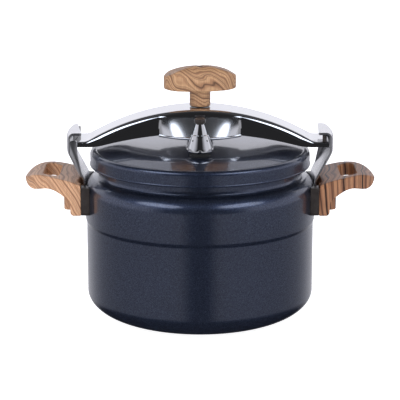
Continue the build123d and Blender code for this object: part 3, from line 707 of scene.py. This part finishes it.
for side, hooks, turned_half in (("right", (122.6, 125.8), False), ("left", (130.6, 122.4), True)):
    mesh = merged("bracket", [bracket_web(*hooks, turned_half), stop_flange(turned_half)])
    finish_piece("side_bracket_" + side, mesh, "bracket_chrome", "pot", ["bracket_" + side])


# ---------------------------------------------------------------- handles, spacers and pads

for side in ("right", "left"):
    finish_piece("grip_" + side, moulded("handle_" + side, 0.7, 6), "wood_" + side, "pot",
                 ["handle_" + side], 60.0)
    finish_piece("heat_spacer_" + side, softened("handle_spacer_" + side, 0.7), "black_phenolic", "pot",
                 ["handle_spacer_" + side])
    finish_piece("bearing_pad_" + side, softened("hook_pad_" + side, 0.6), "black_phenolic", "pot",
                 ["hook_pad_" + side])


# ---------------------------------------------------------------- knob and screw

finish_piece("knob_grip", moulded("knob", 0.6, 8), "wood_knob", "knob", ["knob"], 60.0)


def plug_profile():
    _, (_, _, top) = box_of("knob_plug")
    return [(0, top - 5.0)] + rounded([(4.2, top - 5.0), (4.2, top), (2.6, top), (2.3, top - 0.5), (0, top - 0.6)],
                                      [0, 0.5, 0.2, 0.2, 0], 4, False)


finish_piece("knob_button", lathe("knob_button", plug_profile(), 48), "brown_phenolic", "knob",
             ["knob_plug"])


def screw_mesh():
    """Clamping screw: swivel foot and a helical thread."""
    (_, _, low), _ = box_of("spindle")
    pitch, major, depth = 2.0, 7.0, 1.05
    segments = 72
    foot = rounded([(0, low), (8.8, low), (8.8, low + 3.2), (6.0, low + 3.2), (6.0, low + 4.0), (0, low + 4.0)],
                   [0, 0.9, 0.5, 0.3, 0, 0], 4)
    loops = []
    start, end = low + 3.0, 225.4
    rows = int((end - start) / pitch * 10)
    for i in range(rows + 1):
        z = start + (end - start) * i / rows
        loop = []
        for k in range(segments):
            turn = (z / pitch - k / segments) % 1.0
            wave = min(1.0, max(0.0, abs(turn - 0.5) * 2.9 - 0.2))
            r = major - depth * wave
            a = TAU * k / segments
            loop.append((r * math.cos(a), r * math.sin(a), z))
        loops.append(loop)
    return merged("screw", [lathe("foot", foot, segments), swept_loops("thread", loops)])


finish_piece("clamp_screw", screw_mesh(), "steel", "knob", ["spindle"], 40.0)


# ---------------------------------------------------------------- screw seat on the lid


def seat_profile():
    (_, _, low), (_, _, high) = box_of("seat_cup")
    return rounded([(0, low), (11.5, low), (11.5, low + 2.5), (8.0, low + 2.5), (8.0, 178.5), (15.0, 179.0),
                    (15.0, high), (9.3, high), (9.3, 183.0), (0, 183.0)],
                   [0, 0.8, 0.5, 0, 0, 0.8, 1.4, 0.5, 0.3, 0], 4)


finish_piece("screw_seat", lathe("screw_seat", seat_profile(), 96), "chrome", "lid", ["seat_cup"])


# ---------------------------------------------------------------- regulator

VALVE_Y = -63.0


def weight_mesh():
    """Weight with soft facets on its lower cone, hollow over the vent pipe, and four small escape holes."""
    def faceted(r, z, a):
        if z > 203.0 or r < 6.0:
            return r
        share = (z - 181.9) / 35.1
        corner = 17.0 - 13.6 * share
        a = (a + TAU / 16) % (TAU / 8) - TAU / 16
        flat = corner * math.cos(TAU / 16)
        polygon = flat / math.cos(TAU / 16 - abs(a))
        return min(r, 0.55 * polygon + 0.45 * r)

    bore = 4.4
    outline = rounded([(bore, 185.3), (8.4, 185.3), (13.5, 187.7), (13.5, 190.9), (8.4, 204.0), (7.2, 204.2),
                       (3.9, 214.9), (2.0, 214.9), (2.0, 212.4), (1.1, 212.4), (1.1, 203.8), (bore, 203.8)],
                      [0.3, 0.5, 0.4, 1.0, 0.35, 0.25, 0.3, 0, 0, 0, 0, 0], 4)
    dense = []
    for k, (a, b) in enumerate(zip(outline, outline[1:] + outline[:1])):
        steps = max(1, int(math.dist(a, b) / 1.2))
        for j in range(steps):
            dense.append((a[0] + (b[0] - a[0]) * j / steps, a[1] + (b[1] - a[1]) * j / steps))
    mesh = lathe("weight", dense, 128, (0.0, 0.0), faceted)
    for quarter in range(2):
        angle = math.radians(45 + 90 * quarter)
        loops = []
        for d in (-20.0, 20.0):
            loops.append([(d * math.cos(angle) - 0.9 * math.cos(TAU * k / 16) * math.sin(angle),
                           d * math.sin(angle) + 0.9 * math.cos(TAU * k / 16) * math.cos(angle),
                           199.0 + 0.9 * math.sin(TAU * k / 16)) for k in range(16)])
        cutter = bpy.data.objects.new("cutter", swept_loops("cutter", loops))
        bpy.context.scene.collection.objects.link(cutter)
        mesh = applied(mesh, ("BOOLEAN", {"operation": "DIFFERENCE", "object": cutter, "solver": "EXACT"}))
        bpy.data.objects.remove(cutter)
    shape = bmesh.new()
    shape.from_mesh(mesh)
    bmesh.ops.translate(shape, verts=shape.verts, vec=(0, VALVE_Y * MM, 0))
    shape.to_mesh(mesh)
    shape.free()
    return mesh


finish_piece("weight_body", weight_mesh(), "chrome", "regulator", ["regulator_weight"], 28.0)


def cap_radius(r, z, a):
    """Shallow finger flutes round the side of the cap."""
    if r < 5.2 or z < 216.0 or z > 219.8:
        return r
    return r - 0.28 * (0.5 - 0.5 * math.cos(14 * a))


def cap_profile():
    _, (_, _, top) = box_of("regulator_cap")
    base = top - 5.7
    return [(0, base - 2.4), (1.9, base - 2.4), (1.9, base)] + rounded(
        [(4.0, base), (6.0, base + 1.6), (6.0, top - 1.2), (4.8, top), (3.2, top), (2.8, top - 0.5), (0, top - 0.6)],
        [0, 0.6, 0.6, 0.6, 0.3, 0.3, 0], 4, False)


finish_piece("finger_cap", lathe("finger_cap", cap_profile(), 112, (0.0, VALVE_Y), cap_radius), "black_phenolic",
             "regulator", ["regulator_cap"])


# ---------------------------------------------------------------- relief valve's spring


def spring_mesh():
    (_, _, low), (_, _, high) = box_of("relief_spring")
    wire, coil = 0.45, 3.9
    turns = 3.0
    loops = []
    for t in np.linspace(0.0, 1.0, 145):
        a = TAU * turns * t
        z = low + wire + (high - low - 2 * wire) * t
        loops.append([((coil + wire * math.cos(b)) * math.cos(a), 63.0 + (coil + wire * math.cos(b)) * math.sin(a),
                       z + wire * math.sin(b)) for b in np.linspace(0, TAU, 11)[:-1]])
    return swept_loops("spring", loops), high


spring, spring_high = spring_mesh()
spring_piece = finish_piece("valve_spring", spring, "steel", "lid", ["relief_spring"])
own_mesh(spring_piece)


# ---------------------------------------------------------------- materials of the carried-over nodes

CARRIED = {
    "steel": ["bracket_rivets_right", "bracket_rivets_left", "handle_studs_right", "handle_studs_left",
              "handle_nuts_right", "handle_nuts_left", "foot_retainer", "beam_bush", "beam_washer", "knob_screw",
              "regulator_needle"],
    "brass": ["vent_nut", "relief_nut", "knob_insert", "relief_pin"],
    "chrome": ["vent_pipe", "relief_body"],
    "black_rubber": ["vent_seal", "relief_seal"],
    "silicone": ["lid_gasket"],
}
for material, names in CARRIED.items():
    for name in names:
        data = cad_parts[name].data
        data.materials.clear()
        data.materials.append(MATERIALS[material])


# ---------------------------------------------------------------- stage, light and camera


def flat_panel(name, half, z):
    mesh = bpy.data.meshes.new(name)
    mesh.from_pydata([(-half, -half, z), (half, -half, z), (half, half, z), (-half, half, z)], [], [(0, 1, 2, 3)])
    panel = bpy.data.objects.new(name, mesh)
    bpy.context.scene.collection.objects.link(panel)
    return panel


def make_floor():
    floor = flat_panel("floor", 30.0, -0.0004)
    material, tree, shader = new_material("floor_white", Roughness=0.9, Specular_IOR_Level=0.0,
                                          Emission_Strength=0.9)
    shader.inputs["Emission Color"].default_value = (1.0, 1.0, 1.0, 1.0)
    speck = noise(tree, place_coords(tree), 3.0, 2.0)
    tree.links.new(ramp(tree, speck, [(0.3, (0.86, 0.86, 0.865)), (0.7, (0.88, 0.88, 0.88))]),
                   shader.inputs["Base Color"])
    floor.data.materials.append(material)
    floor.visible_glossy = False
    return floor


def glow(tree, direction, azimuth, elevation):
    """Soft-edged bright patch of the surround; azimuth is from the front towards +X."""
    a, e = math.radians(azimuth), math.radians(elevation)
    aim = (math.sin(a) * math.cos(e), -math.cos(a) * math.cos(e), math.sin(e))
    across = (math.cos(a), math.sin(a), 0.0)
    rise = tuple(Vector(across).cross(Vector(aim)))
    offsets = []
    for axis, reach in ((across, 0.40), (rise, 0.22)):
        along = add(tree, "VectorMath", {0: direction, 1: axis}, operation="DOT_PRODUCT").outputs["Value"]
        offsets.append(math_node(tree, "POWER", math_node(tree, "ABSOLUTE", math_node(
            tree, "DIVIDE", along, reach)), 2.6))
    spread = math_node(tree, "ADD", offsets[0], offsets[1])
    facing = add(tree, "VectorMath", {0: direction, 1: aim}, operation="DOT_PRODUCT").outputs["Value"]
    patch = ramp(tree, spread, [(0.0, 1.0), (0.35, 0.85), (1.0, 0.0)], "EASE")
    return math_node(tree, "MULTIPLY", patch, math_node(tree, "GREATER_THAN", facing, 0.0))


def make_world():
    """White surround behind, two soft bright patches, dark overhead and a dark strip towards the front."""
    world = bpy.data.worlds.new("studio")
    bpy.context.scene.world = world
    world.use_nodes = True
    tree = world.node_tree
    tree.nodes.clear()
    direction = add(tree, "TexCoord").outputs["Generated"]
    parts = add(tree, "SeparateXYZ", {0: direction})
    x, y, z = parts.outputs[0], parts.outputs[1], parts.outputs[2]
    lift = math_node(tree, "ARCTAN2", z, y)
    lift = math_node(tree, "MULTIPLY_ADD", lift, 1.0 / TAU)
    lift.node.inputs[2].default_value = 0.5
    upper = ramp(tree, lift, [
        (0.0, 0.05), (0.25, 0.6), (0.46, 1.0), (0.54, 0.92), (0.57, 0.80), (0.605, 0.95), (0.63, 0.08),
        (0.70, 0.04), (0.74, 0.08), (0.80, 0.03), (0.88, 0.02), (1.0, 0.02)])
    around = math_node(tree, "ARCTAN2", math_node(tree, "ABSOLUTE", x), math_node(tree, "MULTIPLY", y, -1.0))
    around = math_node(tree, "MULTIPLY", around, 1.0 / math.pi)
    lower = ramp(tree, around, [
        (0.0, 0.020), (0.045, 0.022), (0.11, 0.38), (0.30, 0.34), (0.50, 0.28), (0.66, 0.30), (0.80, 0.50),
        (1.0, 0.62)])
    lower = mix_colour(tree, ramp(tree, math_node(tree, "ADD", z, 1.0), [
        (0.0, 1.0), (0.48, 1.0), (0.66, 0.0)]), lower, (0.012, 0.013, 0.018))
    sides = ramp(tree, around, [(0.0, 0.0), (0.20, 0.0), (0.30, 1.0), (0.62, 1.0), (0.72, 0.0), (1.0, 0.0)])
    level = ramp(tree, z, [(0.0, 1.0), (0.45, 1.0), (0.62, 0.0), (1.0, 0.0)])
    upper = mix_colour(tree, math_node(tree, "MULTIPLY", sides, level), upper, (0.62, 0.625, 0.64))
    above = ramp(tree, math_node(tree, "ADD", z, 0.5), [(0.47, 0.0), (0.55, 1.0)])
    whole = mix_colour(tree, above, lower, upper)
    for azimuth in (-52.0, 52.0):
        whole = mix_colour(tree, glow(tree, direction, azimuth, 47.0), whole, (2.5, 2.7, 2.9), "ADD")
    shown = add(tree, "Background", {"Color": (1.0, 1.0, 1.0, 1.0), "Strength": 1.3})
    whole = mix_colour(tree, 1.0, whole, (0.965, 0.965, 1.04), "MULTIPLY")
    lit = add(tree, "Background", {"Color": whole, "Strength": 1.0})
    path = add(tree, "LightPath")
    both = add(tree, "MixShader", {0: path.outputs["Is Camera Ray"], 1: lit.outputs[0], 2: shown.outputs[0]})
    out = add(tree, "OutputWorld")
    tree.links.new(both.outputs[0], out.inputs[0])


def softbox(name, azimuth, elevation, distance, width, height, power, colour=(1, 1, 1), glossy=True):
    """Area light facing the pot; azimuth is from the front towards +X."""
    data = bpy.data.lights.new(name, "AREA")
    data.shape = "RECTANGLE"
    data.size, data.size_y, data.energy, data.color = width, height, power, colour
    lamp = bpy.data.objects.new(name, data)
    bpy.context.scene.collection.objects.link(lamp)
    a, e = math.radians(azimuth), math.radians(elevation)
    offset = Vector((math.sin(a) * math.cos(e), -math.cos(a) * math.cos(e), math.sin(e)))
    lamp.location = Vector((0, 0, 0.15)) + offset * distance
    lamp.rotation_mode = "QUATERNION"
    lamp.rotation_quaternion = offset.to_track_quat("Z", "Y")
    lamp.visible_camera = False
    lamp.visible_glossy = glossy


def make_camera():
    data = bpy.data.cameras.new("camera")
    data.sensor_width = 36.0
    data.lens = 143.7
    data.clip_start, data.clip_end = 0.05, 100.0
    camera = bpy.data.objects.new("camera", data)
    bpy.context.scene.collection.objects.link(camera)
    camera.location = (0.0, -1.645, 0.530)
    camera.rotation_euler = (math.radians(90.0 - 13.99), 0.0, 0.0)
    bpy.context.scene.camera = camera


make_floor()
make_world()
softbox("key_left", -52.0, 40.0, 2.0, 1.2, 1.2, 10.0, (0.97, 0.985, 1.0), False)
softbox("key_right", 52.0, 40.0, 2.0, 1.2, 1.2, 8.0, (0.97, 0.985, 1.0), False)
softbox("fill_top", 0.0, 80.0, 2.2, 2.0, 2.0, 4.0, glossy=False)
softbox("fill_front", 0.0, 3.0, 2.6, 2.4, 1.0, 40.0, glossy=False)
make_camera()
bpy.context.scene.view_settings.view_transform = "Standard"
bpy.context.scene.view_settings.look = "None"
